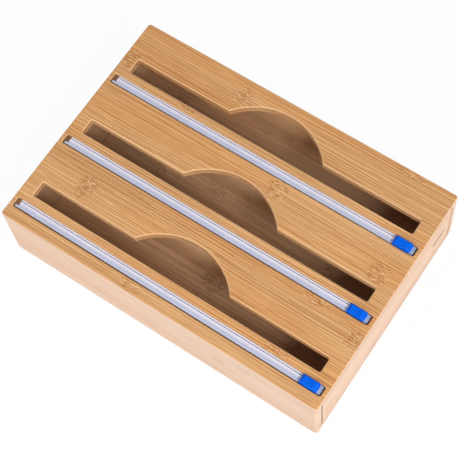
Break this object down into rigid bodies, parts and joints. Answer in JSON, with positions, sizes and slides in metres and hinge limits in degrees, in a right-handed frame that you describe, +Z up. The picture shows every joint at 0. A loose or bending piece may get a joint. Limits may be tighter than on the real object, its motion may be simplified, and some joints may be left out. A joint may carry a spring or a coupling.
{
  "type": "cling film dispenser",
  "caption": "Low bamboo box that holds rolls of kitchen film in bays, with dispensing slots, finger cut-outs, slide cutters on rails and a hinged end door.",
  "frame": {"origin": "on the table, under the middle of the box", "axes": "+X along the slots towards the end door, +Y from the front board to the back board, +Z up"},
  "size_m": [0.345, 0.239, 0.0856],
  "materials": {
    "bamboo_top": "satin lacquer",
    "bamboo_side": "satin lacquer",
    "bamboo_inside": "unlacquered",
    "milky_plastic": "milky, translucent",
    "white_tape": "foam",
    "blue_plastic": "glossy",
    "blade_steel": "ground",
    "pin_steel": "drawn",
    "magnet_nickel": "nickel plated",
    "foot_rubber": "matt"
  },
  "bodies": {
    "box": {"top_board": "bamboo_top", "front_board": "bamboo_side", "back_board": "bamboo_side", "left_end_board": "bamboo_side", "floor_board": "bamboo_inside", "divider_front": "bamboo_inside", "divider_rear": "bamboo_inside", "divider_magnet_upper": "magnet_nickel", "divider_magnet_lower": "magnet_nickel", "cutter_rail_front": "milky_plastic", "cutter_rail_middle": "milky_plastic", "cutter_rail_rear": "milky_plastic", "rail_tape_front": "white_tape", "rail_tape_middle": "white_tape", "rail_tape_rear": "white_tape", "foot_front_left": "foot_rubber", "foot_front_right": "foot_rubber", "foot_back_left": "foot_rubber", "foot_back_right": "foot_rubber"},
    "door": {"end_door": "bamboo_side", "pivot_pin_upper": "pin_steel", "pivot_pin_lower": "pin_steel", "door_magnet_upper": "magnet_nickel", "door_magnet_lower": "magnet_nickel"},
    "cutter_front": {"slider_cap_front": "blue_plastic", "slider_saddle_front": "blue_plastic", "slider_blade_front": "blade_steel"},
    "cutter_middle": {"slider_cap_middle": "blue_plastic", "slider_saddle_middle": "blue_plastic", "slider_blade_middle": "blade_steel"},
    "cutter_rear": {"slider_cap_rear": "blue_plastic", "slider_saddle_rear": "blue_plastic", "slider_blade_rear": "blade_steel"}
  },
  "joints": [
    {"name": "door_hinge", "type": "hinge", "parent": "box", "child": "door", "pos_m": [0.17, -0.1074, 0.0415], "axis": [0, 0, -1], "range_deg": [0, 90]},
    {"name": "cutter_slide_front", "type": "slide", "parent": "box", "child": "cutter_front", "axis": [1, 0, 0], "range_m": [-0.3095, 0.0005]},
    {"name": "cutter_slide_middle", "type": "slide", "parent": "box", "child": "cutter_middle", "axis": [1, 0, 0], "range_m": [-0.3095, 0.0005]},
    {"name": "cutter_slide_rear", "type": "slide", "parent": "box", "child": "cutter_rear", "axis": [1, 0, 0], "range_m": [-0.3095, 0.0005]}
  ]
}
